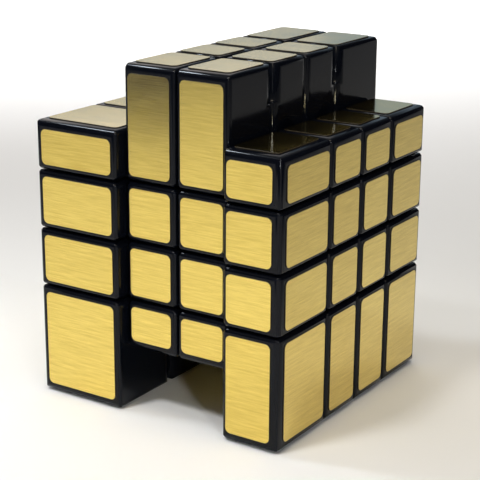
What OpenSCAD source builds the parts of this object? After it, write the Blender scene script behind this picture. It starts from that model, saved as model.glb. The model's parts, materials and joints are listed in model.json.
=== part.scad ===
// Mirror block cube, 4 x 4 x 4: the layers differ in thickness, so the puzzle is solved by
// shape instead of by colour. It is drawn with its two middle slices half a turn about X.
// Lengths are in millimetres. The cube stands on Z = 0, centred in X and Y.

/* [Cube] */

// Outside length of the cube's side, over the plastic
cube_size = 62; // [60:1:66]
// Thickness of both inner layers, along every axis
inner_layer = 13.1; // [12.9:0.1:13.3]
// Thickness of the left layer, along X
left_layer = 21.9; // [19:0.1:23]
// Thickness of the front layer, along Y
front_layer = 19.3; // [17:0.1:22]
// Thickness of the top layer, along Z, before its slices are turned
top_layer = 11.0; // [10.8:0.1:18]
// Half turns that the two middle slices have made about the X axis
middle_half_turns = 1; // [0:1:1]

/* [Blocks] */

// Radius of the edges of the solved cube
outer_edge_radius = 1.7; // [1.2:0.05:1.8]
// Radius of the edges between an outside face of a block and its neighbour
edge_radius = 1.15; // [0.6:0.05:1.2]
// Radius of the rounded edges that lie inside the solved cube
inner_edge_radius = 1.7; // [1:0.1:2]
// Radius of the upright inner edges of the extensions, beside the outer slices
extension_edge_radius = 2.8; // [1:0.1:3]
// Distance from the middle where the extensions of the bottom layer begin
extension_start = 30.3; // [28:0.1:32]
// How far, along X, Y and Z together, the corner points of the blocks are cut back
corner_cut = 1.7; // [1.2:0.1:2]
// Gap between two blocks that turn past each other
running_gap = 0.2; // [0.14:0.02:0.24]

/* [Stickers] */

// Thickness of the foil stickers
sticker_thickness = 0.2; // [0.1:0.05:0.4]
// Radius of the corners of the stickers
sticker_radius = 1.2; // [0.6:0.1:1.8]
// Bare plastic beside a sticker, at an edge that meets another block
inner_margin = 1.2; // [0.9:0.1:1.6]
// Bare plastic beside a sticker, at an outside edge of the cube
outer_margin = 1.95; // [1.2:0.05:2.4]

/* [Mechanism] */

// Radius, from the axis of a turn, where the heads of the blocks end
head_radius = 21.8; // [21.4:0.1:22]
// Radius, from the axis of a turn, where the feet of the blocks end
foot_radius = 17.3; // [17:0.1:17.6]
// Distance from the middle where the outer layers end inside the feet
foot_cut = 12.6; // [12.4:0.1:12.7]
// Distance from the middle where the lugs of the outer layers end
lug_cut = 9.2; // [8.8:0.1:9.6]
// Half width of the hidden layer's flanges
cap_half_width = 5.4; // [5:0.1:5.8]
// Half width of the hidden layer's stems
stem_half_width = 3.6; // [3.4:0.1:3.8]

/* [Screws and springs] */

// Radius of the ball in the middle of the spider
ball_radius = 7.5; // [6.5:0.5:8]
// Radius of the arms of the spider
arm_radius = 3.4; // [3:0.1:3.6]
// Radius of the shank of the screws
screw_radius = 1.2; // [1:0.1:1.3]
// Radius of the heads of the screws
screw_head_radius = 2.3; // [2:0.1:2.5]
// Height of the heads of the screws
screw_head_height = 1.5; // [1.2:0.1:1.8]
// Length of the shank of the screws
screw_length = 10; // [8:0.5:11]
// Radius of the wire of the springs
wire_radius = 0.25; // [0.2:0.05:0.3]
// Turns of wire in each spring
spring_turns = 4; // [3:1:5]
// Length of the springs
spring_length = 3.2; // [2.8:0.1:3.4]
// Thickness of the washers under the heads of the screws
washer_thickness = 0.4; // [0.3:0.1:0.6]

/* [Hidden] */

$fn = 96;

gap = running_gap / 2;
reach = 60;
// How far the extension of a block runs back inside the standard block
extension_root = 3;
screw_clearance = 0.1;
head_clearance = 0.5;
washer_clearance = 0.15;
washer_rim = 0.2;
slot_width = 0.5;
slot_length = 3;
slot_depth = 0.7;
cap_floor = 1.4;
outer_pair = cube_size - 2 * inner_layer;
right_layer = outer_pair - left_layer;
back_layer = outer_pair - front_layer;
bottom_layer = outer_pair - top_layer;

// Where the layers are cut along each axis, measured from the middle of the mechanism
x_cuts = [-inner_layer - left_layer, -inner_layer, 0, inner_layer, inner_layer + right_layer];
y_cuts = [-inner_layer - front_layer, -inner_layer, 0, inner_layer, inner_layer + back_layer];
z_cuts = [-inner_layer - bottom_layer, -inner_layer, 0, inner_layer, inner_layer + top_layer];

// Where the middle of the mechanism lies in the standing cube
middle_x = -(x_cuts[0] + x_cuts[4]) / 2;
middle_z = inner_layer + bottom_layer + sticker_thickness;

// Layers are numbered -2, -1, 1 and 2 along each axis, and the hidden one is 0
function block_low(cuts, n) = n < 0 ? cuts[n + 2] + (n == -2 ? 0 : gap) : cuts[n + 1] + gap;
function block_high(cuts, n) = n < 0 ? cuts[n + 3] - gap : cuts[n + 2] - (n == 2 ? 0 : gap);
function foil_low(cuts, n) = block_low(cuts, n) + (n == -2 ? outer_margin : inner_margin);
function foil_high(cuts, n) = block_high(cuts, n) - (n == 2 ? outer_margin : inner_margin);
function zone_low(n) = abs(n) == 1 ? cap_half_width : lug_cut;
function zone_high(n) = abs(n) == 1 ? lug_cut : head_radius - gap;

// ---- Solids of revolution that the layers of one axis may fill, about +Z ----

module outer_layer_space() {
    rotate_extrude()
        polygon([
            [0, foot_cut + gap],
            [foot_radius + gap, foot_cut + gap],
            [foot_radius + gap, lug_cut + gap],
            [head_radius - gap, lug_cut + gap],
            [head_radius - gap, inner_layer + gap],
            [reach, inner_layer + gap],
            [reach, reach],
            [0, reach]
        ]);
}

module inner_layer_space() {
    rotate_extrude()
        polygon([
            [0, stem_half_width + gap],
            [foot_radius - gap, stem_half_width + gap],
            [foot_radius - gap, cap_half_width + gap],
            [head_radius + gap, cap_half_width + gap],
            [head_radius + gap, gap],
            [reach, gap],
            [reach, inner_layer - gap],
            [head_radius + gap, inner_layer - gap],
            [head_radius + gap, lug_cut - gap],
            [foot_radius - gap, lug_cut - gap],
            [foot_radius - gap, foot_cut - gap],
            [0, foot_cut - gap]
        ]);
}

module hidden_layer_space() {
    rotate_extrude()
        polygon([
            [0, gap - stem_half_width],
            [foot_radius + gap, gap - stem_half_width],
            [foot_radius + gap, gap - cap_half_width],
            [head_radius - gap, gap - cap_half_width],
            [head_radius - gap, cap_half_width - gap],
            [foot_radius + gap, cap_half_width - gap],
            [foot_radius + gap, stem_half_width - gap],
            [0, stem_half_width - gap]
        ]);
}

module layer_space(n) {
    mirror([0, 0, n < 0 ? 1 : 0]) {
        if (abs(n) == 2) outer_layer_space();
        if (abs(n) == 1) inner_layer_space();
        if (n == 0) hidden_layer_space();
    }
}

// What one piece may fill, so that it clears every other piece in a turn about any axis
module cell_space(i, j, k) {
    intersection() {
        rotate([0, 90, 0]) layer_space(i);
        rotate([-90, 0, 0]) layer_space(j);
        layer_space(k);
    }
}

// ---- Rounded shapes ----

// The radii belong to the corner at the origin and then to the others, counterclockwise
module rounded_rectangle(width, depth, radii) {
    centers = [
        [radii[0], radii[0]],
        [width - radii[1], radii[1]],
        [width - radii[2], depth - radii[2]],
        [radii[3], depth - radii[3]]
    ];
    union() {
        polygon([
            [radii[0], 0],
            [width - radii[1], 0],
            [width, radii[1]],
            [width, depth - radii[2]],
            [width - radii[2], depth],
            [radii[3], depth],
            [0, depth - radii[3]],
            [0, radii[0]]
        ]);
        for (n = [0:3]) translate(centers[n]) circle(r = radii[n]);
    }
}

// An edge's radius depends on whether its two faces meet other blocks: both of them, one or neither
function corner_radius(meets_one, meets_other, inner) =
    meets_one && meets_other ? inner
    : meets_one || meets_other ? edge_radius
    : outer_edge_radius;
function corner_radii(m, n, low_inner, high_inner) = [
    corner_radius(m != -2, n != -2, low_inner),
    corner_radius(m != 2, n != -2, low_inner),
    corner_radius(m != 2, n != 2, high_inner),
    corner_radius(m != -2, n != 2, high_inner)
];

// A regular octahedron that trims the points where the rounded edges of a box of this size meet
module corner_trim(size) {
    tip = (size[0] + size[1] + size[2]) / 2 - corner_cut;
    translate(size / 2)
        polyhedron(
            points = [[tip, 0, 0], [-tip, 0, 0], [0, tip, 0], [0, -tip, 0], [0, 0, tip], [0, 0, -tip]],
            faces = [
                [0, 4, 2], [0, 3, 4], [1, 2, 4], [1, 4, 3],
                [0, 2, 5], [0, 5, 3], [1, 5, 2], [1, 3, 5]
            ]
        );
}

// The block of layers i, j and k, with the radii of its upright inner edges at low and at high Y
module rounded_block(low, high, i, j, k, low_inner, high_inner) {
    size = high - low;
    front_radii = corner_radii(i, k, inner_edge_radius, inner_edge_radius);
    side_radii = corner_radii(j, k, inner_edge_radius, inner_edge_radius);
    translate(low)
        intersection() {
            linear_extrude(size[2])
                rounded_rectangle(size[0], size[1], corner_radii(i, j, low_inner, high_inner));
            translate([0, size[1], 0])
                rotate([90, 0, 0])
                    linear_extrude(size[1]) rounded_rectangle(size[0], size[2], front_radii);
            rotate([90, 0, 90])
                linear_extrude(size[0]) rounded_rectangle(size[1], size[2], side_radii);
            corner_trim(size);
        }
}

// A block, which is a standard block with an extension below it where the bottom layer is deep
module stepped_block(low, high, i, j, k) {
    if (low[2] < -extension_start) {
        rounded_block(
            [low[0], low[1], -extension_start], high, i, j, k,
            inner_edge_radius, inner_edge_radius
        );
        rounded_block(
            low, [high[0], high[1], extension_root - extension_start], i, j, k,
            j == -1 || j == 2 ? extension_edge_radius : inner_edge_radius,
            j == -2 || j == 1 ? extension_edge_radius : inner_edge_radius
        );
    }
    else {
        rounded_block(low, high, i, j, k, inner_edge_radius, inner_edge_radius);
    }
}

// ---- Pieces of the puzzle, before any slice is turned ----

module outer_block(i, j, k) {
    stepped_block(
        [block_low(x_cuts, i), block_low(y_cuts, j), block_low(z_cuts, k)],
        [block_high(x_cuts, i), block_high(y_cuts, j), block_high(z_cuts, k)],
        i, j, k
    );
}

// The room for the lugs that hook under the neighbours
module lug_zone(i, j, k) {
    low = [zone_low(i), zone_low(j), zone_low(k)];
    high = [zone_high(i), zone_high(j), zone_high(k)];
    mirror([i < 0 ? 1 : 0, 0, 0])
        mirror([0, j < 0 ? 1 : 0, 0])
            mirror([0, 0, k < 0 ? 1 : 0])
                translate(low) cube(high - low);
}

// A corner, or an edge piece of either kind
module rim_piece(i, j, k) {
    intersection() {
        union() {
            outer_block(i, j, k);
            lug_zone(i, j, k);
        }
        cell_space(i, j, k);
    }
}

// Half of the space, beyond the bottom of the feet of one face
module beyond_feet(i, j, k) {
    far = foot_cut + gap + reach;
    shift = [for (n = [i, j, k]) abs(n) == 2 ? sign(n) * far : 0];
    translate(shift) cube(2 * reach, center = true);
}

function deep_low(cuts, n) = n == 2 ? lug_cut : block_low(cuts, n);
function deep_high(cuts, n) = n == -2 ? -lug_cut : block_high(cuts, n);

// A center, whose foot hooks under the hidden cap and the lugs of the rim
module center_piece(i, j, k) {
    intersection() {
        stepped_block(
            [deep_low(x_cuts, i), deep_low(y_cuts, j), deep_low(z_cuts, k)],
            [deep_high(x_cuts, i), deep_high(y_cuts, j), deep_high(z_cuts, k)],
            i, j, k
        );
        cell_space(i, j, k);
        beyond_feet(i, j, k);
    }
}

// A piece of the hidden layer, which never shows
module hidden_piece(i, j, k) {
    intersection() {
        sphere(r = head_radius - gap);
        cell_space(i, j, k);
    }
}

// Turns its children from +Z to a face: 0 is +Z, 1 is -Y, 2 is -Z, 3 is +Y, 4 is +X and 5 is -X
module on_face(face) {
    turns = [[0, 0, 0], [90, 0, 0], [180, 0, 0], [-90, 0, 0], [0, 90, 0], [0, -90, 0]];
    rotate(turns[face]) children();
}

module in_place() {
    translate([middle_x, 0, middle_z]) children();
}

module in_middle_slices() {
    in_place() rotate([180 * middle_half_turns, 0, 0]) children();
}

// ---- Plastic pieces ----

module corner(i, j, k) {
    color([0.07, 0.075, 0.085]) in_place() rim_piece(i, j, k);
}

module outer_edge_pair(i, j, k) {
    color([0.07, 0.075, 0.085])
        in_place()
            for (n = [-1, 1]) rim_piece(i, j == 0 ? n : j, k == 0 ? n : k);
}

module middle_edge(i, j, k) {
    color([0.07, 0.075, 0.085]) in_middle_slices() rim_piece(i, j, k);
}

module side_face_centers(i) {
    color([0.07, 0.075, 0.085])
        in_place()
            for (j = [-1, 1], k = [-1, 1]) center_piece(i, j, k);
}

module middle_centers(i, j, k) {
    color([0.07, 0.075, 0.085])
        in_middle_slices()
            for (n = [-1, 1]) center_piece(i, j == 0 ? n : j, k == 0 ? n : k);
}

// ---- Hidden plastic pieces ----

module screw_bore() {
    translate([0, 0, foot_cut - 1]) cylinder(r = screw_radius + screw_clearance, h = reach);
    translate([0, 0, spring_seat]) cylinder(r = screw_head_radius + head_clearance, h = reach);
}

module cap(face) {
    on_face(face)
        difference() {
            hidden_piece(0, 0, 2);
            screw_bore();
        }
}

module core_caps() {
    color([0.16, 0.17, 0.19]) in_place() for (face = [0:3]) cap(face);
}

module side_cap(face) {
    color([0.16, 0.17, 0.19]) in_place() cap(face);
}

module core_hidden_edges() {
    color([0.16, 0.17, 0.19])
        in_place()
            for (j = [-2, 2], k = [-2, 2]) hidden_piece(0, j, k);
}

module side_hidden_edges(i) {
    color([0.16, 0.17, 0.19])
        in_place()
            for (n = [-2, 2]) {
                hidden_piece(i, n, 0);
                hidden_piece(i, 0, n);
            }
}

module core_hidden_centers() {
    color([0.16, 0.17, 0.19])
        in_place()
            for (n = [-1, 1], m = [-2, 2]) {
                hidden_piece(0, n, m);
                hidden_piece(0, m, n);
            }
}

module middle_hidden_centers(i) {
    color([0.16, 0.17, 0.19])
        in_middle_slices()
            for (n = [-2, 2]) {
                hidden_piece(i, n, 0);
                hidden_piece(i, 0, n);
            }
}

module side_hidden_centers(i) {
    color([0.16, 0.17, 0.19])
        in_place()
            for (n = [-1, 1]) {
                hidden_piece(i, n, 0);
                hidden_piece(i, 0, n);
            }
}

// ---- Spider, screws, springs and washers ----

spring_seat = foot_cut + gap + cap_floor;
washer_level = spring_seat + spring_length;
head_level = washer_level + washer_thickness;
shank_end = head_level - screw_length;
// Room past the end of a screw in the bore of the spider
bore_end = 0.5;

module spider() {
    color([0.82, 0.82, 0.78])
        in_place()
            difference() {
                union() {
                    sphere(r = ball_radius);
                    for (turn = [[0, 0, 0], [90, 0, 0], [0, 90, 0]])
                        rotate(turn) cylinder(r = arm_radius, h = 2 * (foot_cut + gap), center = true);
                }
                for (face = [0:5])
                    on_face(face)
                        translate([0, 0, shank_end - bore_end]) cylinder(r = screw_radius, h = reach);
            }
}

module screw() {
    difference() {
        union() {
            translate([0, 0, shank_end]) cylinder(r = screw_radius, h = screw_length);
            translate([0, 0, head_level]) cylinder(r = screw_head_radius, h = screw_head_height);
        }
        for (turn = [0, 90])
            rotate([0, 0, turn])
                translate([0, 0, head_level + screw_head_height])
                    cube([slot_length, slot_width, 2 * slot_depth], center = true);
    }
}

module cap_screws() {
    color([0.75, 0.76, 0.78]) in_place() for (face = [0:5]) on_face(face) screw();
}

module cap_washers() {
    color([0.8, 0.8, 0.82])
        in_place()
            for (face = [0:5])
                on_face(face)
                    translate([0, 0, washer_level])
                        difference() {
                            cylinder(r = screw_head_radius + washer_rim, h = washer_thickness);
                            translate([0, 0, -washer_thickness])
                                cylinder(r = screw_radius + washer_clearance, h = 3 * washer_thickness);
                        }
}

wire_sides = 6;
steps_per_turn = 12;
spring_steps = spring_turns * steps_per_turn;
coil_radius = screw_head_radius - washer_rim;
coil_rise = spring_length - 2 * wire_radius;

function wire_point(step, side) = let (
    turn = 360 * step / steps_per_turn,
    around = 360 * side / wire_sides,
    out = coil_radius + wire_radius * cos(around),
    up = coil_rise * step / spring_steps + wire_radius * sin(around)
) [out * cos(turn), out * sin(turn), up];

module spring() {
    points = [for (step = [0:spring_steps], side = [0:wire_sides - 1]) wire_point(step, side)];
    walls = [
        for (step = [0:spring_steps - 1], side = [0:wire_sides - 1])
            let (next = (side + 1) % wire_sides, a = step * wire_sides, b = a + wire_sides)
            each [[a + side, b + side, b + next], [a + side, b + next, a + next]]
    ];
    first = [for (side = [0:wire_sides - 1]) side];
    last = [for (side = [wire_sides - 1:-1:0]) spring_steps * wire_sides + side];
    translate([0, 0, spring_seat + wire_radius])
        polyhedron(points, concat(walls, [first, last]));
}

module cap_springs() {
    color([0.7, 0.71, 0.73]) in_place() for (face = [0:5]) on_face(face) spring();
}

// ---- Foil stickers ----

// One sticker: flat foil between two corners of the plane, on top of it
module foil(low, high) {
    translate([low[0], low[1], 0])
        linear_extrude(sticker_thickness)
            rounded_rectangle(high[0] - low[0], high[1] - low[1], [for (n = [0:3]) sticker_radius]);
}

// A sticker on the top or bottom of a block
module foil_z(i, j, k) {
    translate([0, 0, k > 0 ? z_cuts[4] : z_cuts[0] - sticker_thickness])
        foil([foil_low(x_cuts, i), foil_low(y_cuts, j)], [foil_high(x_cuts, i), foil_high(y_cuts, j)]);
}

// A sticker on the front or back of a block
module foil_y(i, j, k) {
    translate([0, j > 0 ? y_cuts[4] + sticker_thickness : y_cuts[0], 0])
        rotate([90, 0, 0])
            foil([foil_low(x_cuts, i), foil_low(z_cuts, k)], [foil_high(x_cuts, i), foil_high(z_cuts, k)]);
}

// A sticker on the left or right side of a block
module foil_x(i, j, k) {
    translate([i > 0 ? x_cuts[4] : x_cuts[0] - sticker_thickness, 0, 0])
        rotate([90, 0, 90])
            foil([foil_low(y_cuts, j), foil_low(z_cuts, k)], [foil_high(y_cuts, j), foil_high(z_cuts, k)]);
}

layers = [-2, -1, 1, 2];

// The stickers around the rim of one slice
module slice_stickers(i) {
    for (n = layers, m = [-2, 2]) {
        foil_z(i, n, m);
        foil_y(i, m, n);
    }
}

module rim_stickers(i) {
    color([0.86, 0.77, 0.42]) in_place() slice_stickers(i);
}

module middle_stickers(i) {
    color([0.86, 0.77, 0.42]) in_middle_slices() slice_stickers(i);
}

module face_stickers(i) {
    color([0.86, 0.77, 0.42]) in_place() for (j = layers, k = layers) foil_x(i, j, k);
}

// ---- Nodes: the names give each piece's place in the standing cube ----

side = middle_half_turns == 0 ? 1 : -1;

corner(-2, -2, 2);  // left_top_front_corner
corner(-2, 2, 2);  // left_top_back_corner
corner(-2, -2, -2);  // left_bottom_front_corner
corner(-2, 2, -2);  // left_bottom_back_corner
corner(2, -2, 2);  // right_top_front_corner
corner(2, 2, 2);  // right_top_back_corner
corner(2, -2, -2);  // right_bottom_front_corner
corner(2, 2, -2);  // right_bottom_back_corner
outer_edge_pair(-2, 0, 2);  // left_top_edges
outer_edge_pair(-2, 0, -2);  // left_bottom_edges
outer_edge_pair(-2, -2, 0);  // left_front_edges
outer_edge_pair(-2, 2, 0);  // left_back_edges
outer_edge_pair(2, 0, 2);  // right_top_edges
outer_edge_pair(2, 0, -2);  // right_bottom_edges
outer_edge_pair(2, -2, 0);  // right_front_edges
outer_edge_pair(2, 2, 0);  // right_back_edges
middle_edge(-1, -2 * side, 2 * side);  // mid_left_top_front_edge
middle_edge(-1, 2 * side, 2 * side);  // mid_left_top_back_edge
middle_edge(-1, -2 * side, -2 * side);  // mid_left_bottom_front_edge
middle_edge(-1, 2 * side, -2 * side);  // mid_left_bottom_back_edge
middle_edge(1, -2 * side, 2 * side);  // mid_right_top_front_edge
middle_edge(1, 2 * side, 2 * side);  // mid_right_top_back_edge
middle_edge(1, -2 * side, -2 * side);  // mid_right_bottom_front_edge
middle_edge(1, 2 * side, -2 * side);  // mid_right_bottom_back_edge
side_face_centers(-2);  // left_face_centers
side_face_centers(2);  // right_face_centers
middle_centers(-1, 0, 2 * side);  // mid_left_top_centers
middle_centers(-1, 0, -2 * side);  // mid_left_bottom_centers
middle_centers(-1, -2 * side, 0);  // mid_left_front_centers
middle_centers(-1, 2 * side, 0);  // mid_left_back_centers
middle_centers(1, 0, 2 * side);  // mid_right_top_centers
middle_centers(1, 0, -2 * side);  // mid_right_bottom_centers
middle_centers(1, -2 * side, 0);  // mid_right_front_centers
middle_centers(1, 2 * side, 0);  // mid_right_back_centers
spider();
cap_screws();
cap_springs();
cap_washers();
core_caps();
side_cap(5);  // left_cap
side_cap(4);  // right_cap
core_hidden_edges();
side_hidden_edges(-2);  // left_hidden_edges
side_hidden_edges(2);  // right_hidden_edges
core_hidden_centers();
side_hidden_centers(-2);  // left_hidden_centers
middle_hidden_centers(-1);  // mid_left_hidden_centers
middle_hidden_centers(1);  // mid_right_hidden_centers
side_hidden_centers(2);  // right_hidden_centers
face_stickers(-2);  // left_face_stickers
rim_stickers(-2);  // left_rim_stickers
middle_stickers(-1);  // mid_left_stickers
middle_stickers(1);  // mid_right_stickers
rim_stickers(2);  // right_rim_stickers
face_stickers(2);  // right_face_stickers
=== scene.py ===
import json
import math
import random

import bmesh
import bpy
from mathutils import Matrix, Vector


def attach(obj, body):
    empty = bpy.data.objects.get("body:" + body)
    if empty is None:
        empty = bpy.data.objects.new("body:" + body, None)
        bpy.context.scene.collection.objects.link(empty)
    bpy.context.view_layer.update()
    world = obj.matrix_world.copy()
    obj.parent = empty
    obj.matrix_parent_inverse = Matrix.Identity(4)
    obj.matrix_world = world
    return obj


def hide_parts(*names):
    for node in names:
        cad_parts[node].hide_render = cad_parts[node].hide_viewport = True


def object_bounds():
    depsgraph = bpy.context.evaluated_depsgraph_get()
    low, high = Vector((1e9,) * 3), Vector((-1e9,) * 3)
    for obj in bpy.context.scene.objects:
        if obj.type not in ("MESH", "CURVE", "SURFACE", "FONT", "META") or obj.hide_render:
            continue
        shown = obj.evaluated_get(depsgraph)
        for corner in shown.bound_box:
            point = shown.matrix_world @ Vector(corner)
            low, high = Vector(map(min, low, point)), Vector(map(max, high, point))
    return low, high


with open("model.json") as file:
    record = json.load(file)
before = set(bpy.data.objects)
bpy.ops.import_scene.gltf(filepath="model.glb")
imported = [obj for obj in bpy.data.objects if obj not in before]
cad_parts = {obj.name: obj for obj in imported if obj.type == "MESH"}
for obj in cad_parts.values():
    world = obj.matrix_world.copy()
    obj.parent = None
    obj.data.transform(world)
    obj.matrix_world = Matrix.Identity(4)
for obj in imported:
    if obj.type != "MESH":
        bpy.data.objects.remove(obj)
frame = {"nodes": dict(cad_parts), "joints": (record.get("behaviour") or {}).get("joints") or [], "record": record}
cad_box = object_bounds()

MM = 0.001
SEED = 11

# ---- Places, from the frame ----

HINGE = next(j for j in frame["joints"] if j["name"] == "left_slice_turn")
MIDDLE = Vector(HINGE["pos_m"])

STICKER_NODES = {
    "left_face_stickers": "left_slice",
    "left_rim_stickers": "left_slice",
    "mid_left_stickers": "mid_left_slice",
    "mid_right_stickers": "mid_right_slice",
    "right_rim_stickers": "right_slice",
    "right_face_stickers": "right_slice",
}

# ---- Camera ----

CAMERA_OFFSET = Vector((160.9, -251.7, 86.7)) * MM
CAMERA_TARGET = Vector((-1.7, -2.84, -4.7)) * MM
CAMERA_ROLL = math.radians(-0.4)
CAMERA_LENS = 104.4
SENSOR_WIDTH = 36.0


def make_camera():
    data = bpy.data.cameras.new("camera")
    data.sensor_width = SENSOR_WIDTH
    data.lens = CAMERA_LENS
    data.clip_start = 0.01
    data.clip_end = 20.0
    data.dof.use_dof = False
    camera = bpy.data.objects.new("camera", data)
    bpy.context.collection.objects.link(camera)
    forward = (CAMERA_TARGET - CAMERA_OFFSET).normalized()
    right = forward.cross(Vector((0, 0, 1))).normalized()
    up = right.cross(forward)
    rolled_up = up * math.cos(CAMERA_ROLL) + right * math.sin(CAMERA_ROLL)
    rolled_right = forward.cross(rolled_up)
    axes = Matrix((rolled_right, rolled_up, -forward)).transposed().to_4x4()
    camera.matrix_world = Matrix.Translation(MIDDLE + CAMERA_OFFSET) @ axes
    bpy.context.scene.camera = camera


# ---- Node helpers ----


def fill(tree, socket, value):
    """Joins a socket to a node's output, or sets its constant."""
    if isinstance(value, bpy.types.NodeSocket):
        tree.links.new(value, socket)
    else:
        socket.default_value = value


def blend_colors(tree, amount, low, high):
    """Goes from the low colour to the high one as the amount goes from 0 to 1."""
    mix = tree.nodes.new("ShaderNodeMix")
    mix.data_type = "RGBA"
    # The node has sockets for numbers and vectors too, so those for colours are taken by their places
    factor, a, b, blended = mix.inputs[0], mix.inputs[6], mix.inputs[7], mix.outputs[2]
    fill(tree, factor, amount)
    fill(tree, a, low)
    fill(tree, b, high)
    return blended


class Nodes:
    """A material's node tree, with short calls for what the materials below need."""

    def __init__(self, name):
        self.material = bpy.data.materials.new(name)
        self.material.use_nodes = True
        self.tree = self.material.node_tree
        self.shader = self.tree.nodes["Principled BSDF"]

    def add(self, kind, **settings):
        node = self.tree.nodes.new(kind)
        for key, value in settings.items():
            setattr(node, key, value)
        return node

    def join(self, source, target):
        self.tree.links.new(source, target)

    def set(self, **values):
        """Joins sockets of the shader, or sets their constants, with _ for a space in the name."""
        for name, value in values.items():
            fill(self.tree, self.shader.inputs[name.replace("_", " ")], value)

    def math(self, operation, a, b=0.0):
        node = self.add("ShaderNodeMath", operation=operation)
        fill(self.tree, node.inputs[0], a)
        fill(self.tree, node.inputs[1], b)
        return node.outputs[0]

    def scaled(self, vector, scale, offset=(0, 0, 0)):
        node = self.add("ShaderNodeMapping")
        self.join(vector, node.inputs["Vector"])
        node.inputs["Scale"].default_value = scale
        node.inputs["Location"].default_value = offset
        return node.outputs[0]

    def noise(self, vector, scale, detail=2.0, roughness=0.5):
        node = self.add("ShaderNodeTexNoise")
        self.join(vector, node.inputs["Vector"])
        node.inputs["Scale"].default_value = scale
        node.inputs["Detail"].default_value = detail
        node.inputs["Roughness"].default_value = roughness
        return node.outputs["Fac"]

    def spread(self, value, span, to_span=(0.0, 1.0)):
        """Maps the first span of the value onto the second one, and clamps it there."""
        node = self.add("ShaderNodeMapRange")
        self.join(value, node.inputs["Value"])
        for name, number in zip(("From Min", "From Max", "To Min", "To Max"), span + to_span):
            node.inputs[name].default_value = number
        return node.outputs[0]

    def bump(self, height, distance, strength=1.0, normal=None):
        node = self.add("ShaderNodeBump")
        self.join(height, node.inputs["Height"])
        node.inputs["Distance"].default_value = distance
        node.inputs["Strength"].default_value = strength
        if normal is not None:
            self.join(normal, node.inputs["Normal"])
        return node.outputs[0]


# ---- Materials ----

BLACK = (0.0034, 0.0044, 0.0078, 1.0)
BLACK_DUSTY = (0.0100, 0.0112, 0.0145, 1.0)
GOLD_LIGHT = (0.90, 0.690, 0.160, 1.0)
GOLD_DARK = (0.66, 0.475, 0.082, 1.0)
RIM_BROWN = (0.055, 0.040, 0.018, 1.0)
HIDDEN_GREY = (0.040, 0.042, 0.048, 1.0)
SPIDER_WHITE = (0.74, 0.73, 0.67, 1.0)
STEEL = (0.62, 0.63, 0.65, 1.0)


def black_plastic():
    """Glossy black, with a fine grain, a slight waviness and a little dust in patches."""
    n = Nodes("black_plastic")
    place = n.add("ShaderNodeTexCoord").outputs["Object"]
    cloud = n.noise(place, scale=70.0, detail=3.0)
    grain = n.noise(place, scale=2600.0, detail=2.0)
    specks = n.spread(n.noise(place, scale=1500.0, detail=1.0), (0.70, 0.76))
    dust = n.math("MULTIPLY", specks, n.spread(cloud, (0.45, 0.7), (0.0, 0.8)))
    rough = n.math("ADD", n.spread(cloud, (0.3, 0.7), (0.07, 0.12)), n.math("MULTIPLY", grain, 0.04))
    flow = n.bump(n.noise(place, scale=160.0, detail=2.0), distance=0.02 * MM, strength=0.5)
    n.set(
        Base_Color=blend_colors(n.tree, dust, BLACK, BLACK_DUSTY),
        Roughness=rough,
        Normal=n.bump(grain, distance=0.004 * MM, strength=0.6, normal=flow),
        Specular_IOR_Level=0.18,
        IOR=1.5,
    )
    return n.material


# Marks in the foil: how many there are in a millimetre along the brush lines and across them
BROAD_MARKS = (0.09, 1.7, 1.0)
FINE_MARKS = (0.16, 4.2, 1.0)
SCRATCHES = (0.11, 9.0, 1.0)
SMUDGES = (0.12, 0.12, 1.0)
RIPPLES = (0.10, 0.16, 1.0)


def sticker_slope(n):
    """The bump of a sticker that lies crooked: its lean gives the slopes along and across, and its bend."""
    parts = n.add("ShaderNodeSeparateXYZ")
    n.join(n.add("ShaderNodeUVMap", uv_map="middle").outputs[0], parts.inputs[0])
    reach = n.add("ShaderNodeCombineXYZ")
    n.join(parts.outputs["X"], reach.inputs["X"])
    n.join(parts.outputs["Y"], reach.inputs["Y"])
    n.join(n.math("MULTIPLY", parts.outputs["Y"], parts.outputs["Y"]), reach.inputs["Z"])
    rise = n.add("ShaderNodeVectorMath", operation="DOT_PRODUCT")
    n.join(reach.outputs[0], rise.inputs[0])
    n.join(n.add("ShaderNodeAttribute", attribute_name="lean").outputs["Vector"], rise.inputs[1])
    return n.bump(rise.outputs["Value"], distance=MM)


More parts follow.
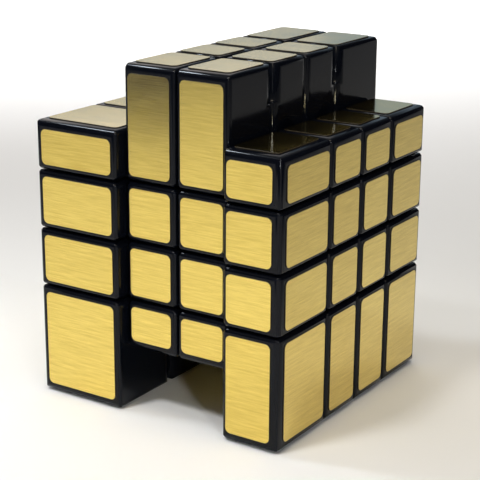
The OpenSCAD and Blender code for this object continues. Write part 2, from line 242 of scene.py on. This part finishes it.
def gold_foil():
    """Brushed gold foil under a clear film, with streaks, thin scratches, smudges and ripples."""
    n = Nodes("gold_foil")
    lines = n.add("ShaderNodeUVMap", uv_map="brush").outputs[0]
    tone = n.add("ShaderNodeAttribute", attribute_name="tone").outputs["Fac"]
    broad = n.noise(n.scaled(lines, BROAD_MARKS), scale=1.0, detail=4.0, roughness=0.7)
    fine = n.noise(n.scaled(lines, FINE_MARKS), scale=1.0, detail=3.0, roughness=0.65)
    streak = n.math("ADD", n.math("MULTIPLY", broad, 0.45), n.math("MULTIPLY", fine, 0.55))
    fibres = n.noise(n.scaled(lines, SCRATCHES, offset=(7.0, 3.0, 0.0)), scale=1.0, detail=1.0)
    scratch = n.spread(fibres, (0.66, 0.72))
    smudge = n.noise(n.scaled(lines, SMUDGES), scale=1.0, detail=3.0)
    ripple = n.noise(n.scaled(lines, RIPPLES, offset=(3.0, 9.0, 0.0)), scale=1.0, detail=1.0)

    shade = n.math("ADD", n.spread(streak, (0.36, 0.64)), n.spread(tone, (0.0, 1.0), (-0.15, 0.15)))
    brushed = n.spread(streak, (0.3, 0.7), (0.14, 0.19))
    rough = n.math("ADD", brushed, n.spread(smudge, (0.3, 0.7), (-0.02, 0.03)))
    height = n.math("SUBTRACT", streak, n.math("MULTIPLY", scratch, 0.25))
    wave = n.bump(ripple, distance=0.05 * MM, strength=0.6, normal=sticker_slope(n))
    n.set(
        Base_Color=blend_colors(n.tree, shade, GOLD_DARK, GOLD_LIGHT),
        Roughness=n.math("SUBTRACT", rough, n.math("MULTIPLY", scratch, 0.04)),
        Normal=n.bump(height, distance=0.011 * MM, strength=0.9, normal=wave),
        Tangent=n.add("ShaderNodeTangent", direction_type="UV_MAP", uv_map="brush").outputs[0],
        Metallic=1.0,
        Anisotropic=0.6,
        Anisotropic_Rotation=0.25,
        Coat_Weight=0.8,
        Coat_Roughness=0.10,
        Coat_IOR=1.5,
    )
    return n.material


def plain_plastic(name, color, rough):
    """Satin plastic of one colour, with faint clouds in it."""
    n = Nodes(name)
    place = n.add("ShaderNodeTexCoord").outputs["Object"]
    cloud = n.noise(place, scale=120.0, detail=3.0)
    shaded = [c * 0.88 for c in color[:3]] + [1.0]
    n.set(
        Base_Color=blend_colors(n.tree, cloud, shaded, color),
        Roughness=n.spread(cloud, (0.3, 0.7), (rough - 0.05, rough + 0.06)),
        Normal=n.bump(n.noise(place, scale=1800.0, detail=2.0), distance=0.01 * MM, strength=0.6),
    )
    return n.material


def steel(name, rough):
    """Bright steel with a fine grain."""
    n = Nodes(name)
    place = n.add("ShaderNodeTexCoord").outputs["Object"]
    grain = n.noise(place, scale=900.0, detail=3.0)
    n.set(
        Base_Color=STEEL,
        Roughness=n.spread(grain, (0.3, 0.7), (rough - 0.06, rough + 0.08)),
        Normal=n.bump(grain, distance=0.006 * MM, strength=0.6),
        Metallic=1.0,
    )
    return n.material


FOIL_RIM = plain_plastic("foil_rim", RIM_BROWN, 0.5)
MATERIALS = {
    "black_plastic": black_plastic(),
    "gold_foil": gold_foil(),
    "hidden_plastic": plain_plastic("hidden_plastic", HIDDEN_GREY, 0.42),
    "spider_plastic": plain_plastic("spider_plastic", SPIDER_WHITE, 0.38),
    "plated_steel": steel("plated_steel", 0.28),
    "spring_steel": steel("spring_steel", 0.34),
}


WELD_DISTANCE = 0.002 * MM
MOLDED_SLOTS = ("black_plastic", "hidden_plastic", "spider_plastic")
FLAT_FACE_WEIGHT = 100


def smooth_group():
    """A node group that shades every face smooth."""
    group = bpy.data.node_groups.new("shade_smooth", "GeometryNodeTree")
    group.interface.new_socket("Geometry", in_out="INPUT", socket_type="NodeSocketGeometry")
    group.interface.new_socket("Geometry", in_out="OUTPUT", socket_type="NodeSocketGeometry")
    start = group.nodes.new("NodeGroupInput")
    smooth = group.nodes.new("GeometryNodeSetShadeSmooth")
    end = group.nodes.new("NodeGroupOutput")
    group.links.new(start.outputs[0], smooth.inputs[0])
    group.links.new(smooth.outputs[0], end.inputs[0])
    return group


def soften(node, group):
    """Lets the light run on round a molded edge and corner, with the flat faces kept flat."""
    node.modifiers.new("smooth", "NODES").node_group = group
    node.modifiers.new("weld", "WELD").merge_threshold = WELD_DISTANCE
    normals = node.modifiers.new("normals", "WEIGHTED_NORMAL")
    normals.weight = FLAT_FACE_WEIGHT
    normals.keep_sharp = False


def dress_cad_nodes():
    slots = {part["node"]: part["material_slot"] for part in frame["record"]["subparts"]}
    group = smooth_group()
    for name, node in frame["nodes"].items():
        node.data.materials.clear()
        node.data.materials.append(MATERIALS[slots[name]])
        if slots[name] in MOLDED_SLOTS:
            soften(node, group)


# ---- Stickers ----

FOIL_RADIUS = 1.2 * MM
FOIL_LIP = 0.04 * MM
# Slope, rise over run, by which a sticker may lie crooked
SETTLE = 0.006
# The tall stickers of a slice lean back by a slope, and bend by so much slope in each millimetre of height
TALL = 20 * MM
TALL_LEAN = {"mid_left_stickers": (0.075, 0.0030), "mid_right_stickers": (0.034, 0.0010)}
ARC_STEPS = 10


def islands(node):
    """The boxes of a node's separate solids, as (low, high) pairs."""
    mesh = bmesh.new()
    mesh.from_mesh(frame["nodes"][node].data)
    bmesh.ops.remove_doubles(mesh, verts=mesh.verts, dist=0.001 * MM)
    boxes = []
    left = set(mesh.verts)
    while left:
        stack = [left.pop()]
        found = list(stack)
        while stack:
            for edge in stack.pop().link_edges:
                for vert in edge.verts:
                    if vert in left:
                        left.remove(vert)
                        stack.append(vert)
                        found.append(vert)
        low = Vector([min(v.co[i] for v in found) for i in range(3)])
        high = Vector([max(v.co[i] for v in found) for i in range(3)])
        boxes.append((low, high))
    mesh.free()
    return sorted(boxes, key=lambda b: tuple(b[0]))


def outline(width, height, radius):
    """Points round a rectangle with round corners, centred on the origin."""
    points = []
    for corner in range(4):
        sx = 1 if corner in (0, 3) else -1
        sy = 1 if corner in (0, 1) else -1
        cx, cy = sx * (width / 2 - radius), sy * (height / 2 - radius)
        for step in range(ARC_STEPS + 1):
            angle = math.pi / 2 * (corner + step / ARC_STEPS)
            points.append((cx + radius * math.cos(angle), cy + radius * math.sin(angle)))
    return points


def foil(mesh, layers, low, high, tall_lean, randomness):
    """One sticker, filling the box of its CAD solid, with its cut rim in a material of its own."""
    uv, middle_uv, tone, lean = layers
    size = high - low
    thin = min(range(3), key=lambda i: size[i])
    outward = 1 if (low[thin] + high[thin]) / 2 > MIDDLE[thin] else -1
    along = 1 if thin == 0 else 0
    across = 3 - thin - along
    middle = (low + high) / 2
    base = low[thin] if outward > 0 else high[thin]
    levels = [(0.0, 0.0), (0.0, size[thin] - FOIL_LIP), (FOIL_LIP, size[thin])]
    rings = []
    for inset, height in levels:
        ring = []
        for x, y in outline(size[along] - 2 * inset, size[across] - 2 * inset, FOIL_RADIUS - inset):
            point = Vector((0, 0, 0))
            point[along] = middle[along] + x
            point[across] = middle[across] + y
            point[thin] = base + outward * height
            ring.append(mesh.verts.new(point))
        rings.append(ring)
    faces = [mesh.faces.new(rings[-1]), mesh.faces.new(list(reversed(rings[0])))]
    for lower, upper in zip(rings, rings[1:]):
        for i in range(len(lower)):
            j = (i + 1) % len(lower)
            faces.append(mesh.faces.new((lower[i], lower[j], upper[j], upper[i])))
    shift = Vector((randomness.uniform(0, 400), randomness.uniform(0, 400)))
    slant = math.tan(math.radians(randomness.uniform(-0.6, 0.6)))
    shade = randomness.random()
    tilt = Vector((randomness.uniform(-SETTLE, SETTLE), randomness.uniform(-SETTLE, SETTLE), 0.0))
    if size[across] > TALL and thin == 1:
        tilt.y -= tall_lean[0]
        tilt.z -= tall_lean[1] / 2
    for face in faces:
        face[tone] = shade
        face[lean] = tilt
        face.material_index = 0 if face is faces[0] else 1
        for loop in face.loops:
            u = (loop.vert.co[along] - middle[along]) / MM
            v = (loop.vert.co[across] - middle[across]) / MM
            loop[uv].uv = (u + shift.x, v + slant * u + shift.y)
            loop[middle_uv].uv = (u, v)
    return faces


def make_stickers(node, body):
    mesh = bmesh.new()
    mesh.faces.layers.float.new("tone")
    mesh.faces.layers.float_vector.new("lean")
    mesh.loops.layers.uv.new("brush")
    mesh.loops.layers.uv.new("middle")
    uv = mesh.loops.layers.uv["brush"]
    middle_uv = mesh.loops.layers.uv["middle"]
    tone = mesh.faces.layers.float["tone"]
    lean = mesh.faces.layers.float_vector["lean"]
    randomness = random.Random(SEED + sum(map(ord, node)))
    for low, high in islands(node):
        foil(mesh, (uv, middle_uv, tone, lean), low, high, TALL_LEAN.get(node, (0.0, 0.0)), randomness)
    bmesh.ops.recalc_face_normals(mesh, faces=mesh.faces)
    data = bpy.data.meshes.new(node + "_foil")
    mesh.to_mesh(data)
    mesh.free()
    data.materials.append(MATERIALS["gold_foil"])
    data.materials.append(FOIL_RIM)
    piece = bpy.data.objects.new(node + "_foil", data)
    bpy.context.collection.objects.link(piece)
    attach(piece, body)
    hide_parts(node)


# ---- Studio ----


FLOOR_HALF_SIDE = 4.0
FLOOR_WHITE = (0.90, 0.90, 0.90, 1.0)
FLOOR_GAP = 0.02 * MM


def make_floor():
    mesh = bmesh.new()
    bmesh.ops.create_grid(mesh, x_segments=2, y_segments=2, size=FLOOR_HALF_SIDE)
    data = bpy.data.meshes.new("floor")
    mesh.to_mesh(data)
    mesh.free()
    n = Nodes("floor")
    n.set(Base_Color=FLOOR_WHITE, Roughness=0.8, Specular_IOR_Level=0.1)
    data.materials.append(n.material)
    floor = bpy.data.objects.new("floor", data)
    bpy.context.collection.objects.link(floor)
    floor.location.z = cad_box[0].z - FLOOR_GAP


# The room: the way to its pale wall, and where the wall and the ceiling fade in, as the cosines of
# the angles from that way and from straight up
WALL_WAY = Vector((-0.69, 0.69, 0.21))
WALL_FADE = (0.55, 0.95)
CEILING_FADE = (0.45, 0.85)
ROOM_GLOW = (0.0060, 0.0036, 0.0030, 1.0)
WALL_GLOW = (0.270, 0.344, 0.410, 1.0)
CEILING_GLOW = (0.300, 0.295, 0.285, 1.0)


def smooth_ramp(tree, value, fade):
    """0 below the first value of the fade and 1 above the second, with a smooth rise between."""
    ramp = tree.nodes.new("ShaderNodeMapRange")
    ramp.interpolation_type = "SMOOTHSTEP"
    ramp.inputs["From Min"].default_value, ramp.inputs["From Max"].default_value = fade
    tree.links.new(value, ramp.inputs["Value"])
    return ramp.outputs[0]


def make_world():
    """A dark room with a pale wall behind the cube and a dim ceiling."""
    world = bpy.data.worlds.new("studio")
    bpy.context.scene.world = world
    world.use_nodes = True
    tree = world.node_tree
    where = tree.nodes.new("ShaderNodeTexCoord").outputs["Generated"]
    facing = tree.nodes.new("ShaderNodeVectorMath")
    facing.operation = "DOT_PRODUCT"
    facing.inputs[1].default_value = WALL_WAY
    tree.links.new(where, facing.inputs[0])
    height = tree.nodes.new("ShaderNodeSeparateXYZ")
    tree.links.new(where, height.inputs[0])
    wall = smooth_ramp(tree, facing.outputs["Value"], WALL_FADE)
    ceiling = smooth_ramp(tree, height.outputs["Z"], CEILING_FADE)
    room = blend_colors(tree, wall, ROOM_GLOW, WALL_GLOW)
    glow = blend_colors(tree, ceiling, room, CEILING_GLOW)
    tree.links.new(glow, tree.nodes["Background"].inputs["Color"])


# Softboxes, measured from the middle of the cube: place, aim, size, spread in degrees, power and tint
SOFTBOXES = {
    "overhead": ((0.12, -0.08, 0.60), (0.12, -0.08, 0.0), 0.26, 90, 0.36, (1.0, 0.87, 0.66)),
    "left": ((-0.40, -0.12, 0.55), (0.0, 0.0, 0.0), 0.09, 40, 0.05, (0.80, 0.90, 1.0)),
    "window": ((0.70, -0.58, 0.27), (0.0, 0.0, 0.0), 0.09, 50, 0.16, (0.95, 0.98, 1.0)),
    "rear": ((-0.43, 0.43, 0.35), (0.0, 0.0, -0.03), 0.40, 180, 0.46, (1.0, 0.84, 0.72)),
    "background": ((-0.46, 0.60, 0.60), (-0.50, 0.66, 0.0), 0.60, 110, 5.2, (1.0, 1.0, 1.0)),
}


def softbox(name, place, aim, size, spread, power, tint):
    data = bpy.data.lights.new(name, "AREA")
    data.shape = "SQUARE"
    data.size = size
    data.spread = math.radians(spread)
    data.energy = power
    data.color = tint
    light = bpy.data.objects.new(name, data)
    bpy.context.collection.objects.link(light)
    turn = (Vector(aim) - Vector(place)).to_track_quat("-Z", "Y")
    light.matrix_world = Matrix.Translation(MIDDLE + Vector(place)) @ turn.to_matrix().to_4x4()


# The key light is a round lamp that lights the floor round the cube and in front of it
KEY_PLACE = (-0.15, -0.38, 0.70)
KEY_AIM = (-0.12, -0.31, -0.04)
KEY_RADIUS = 0.07
KEY_CONE = 56
KEY_BLEND = 0.45
KEY_POWER = 14.0


def key_light():
    data = bpy.data.lights.new("key", "SPOT")
    data.shadow_soft_size = KEY_RADIUS
    data.spot_size = math.radians(KEY_CONE)
    data.spot_blend = KEY_BLEND
    data.energy = KEY_POWER
    light = bpy.data.objects.new("key", data)
    bpy.context.collection.objects.link(light)
    turn = (Vector(KEY_AIM) - Vector(KEY_PLACE)).to_track_quat("-Z", "Y")
    light.matrix_world = Matrix.Translation(MIDDLE + Vector(KEY_PLACE)) @ turn.to_matrix().to_4x4()


def make_studio():
    make_floor()
    make_world()
    key_light()
    for name, settings in SOFTBOXES.items():
        softbox(name, *settings)
    bpy.context.scene.view_settings.view_transform = "Standard"


dress_cad_nodes()
for sticker_node, slice_body in STICKER_NODES.items():
    make_stickers(sticker_node, slice_body)
make_camera()
make_studio()
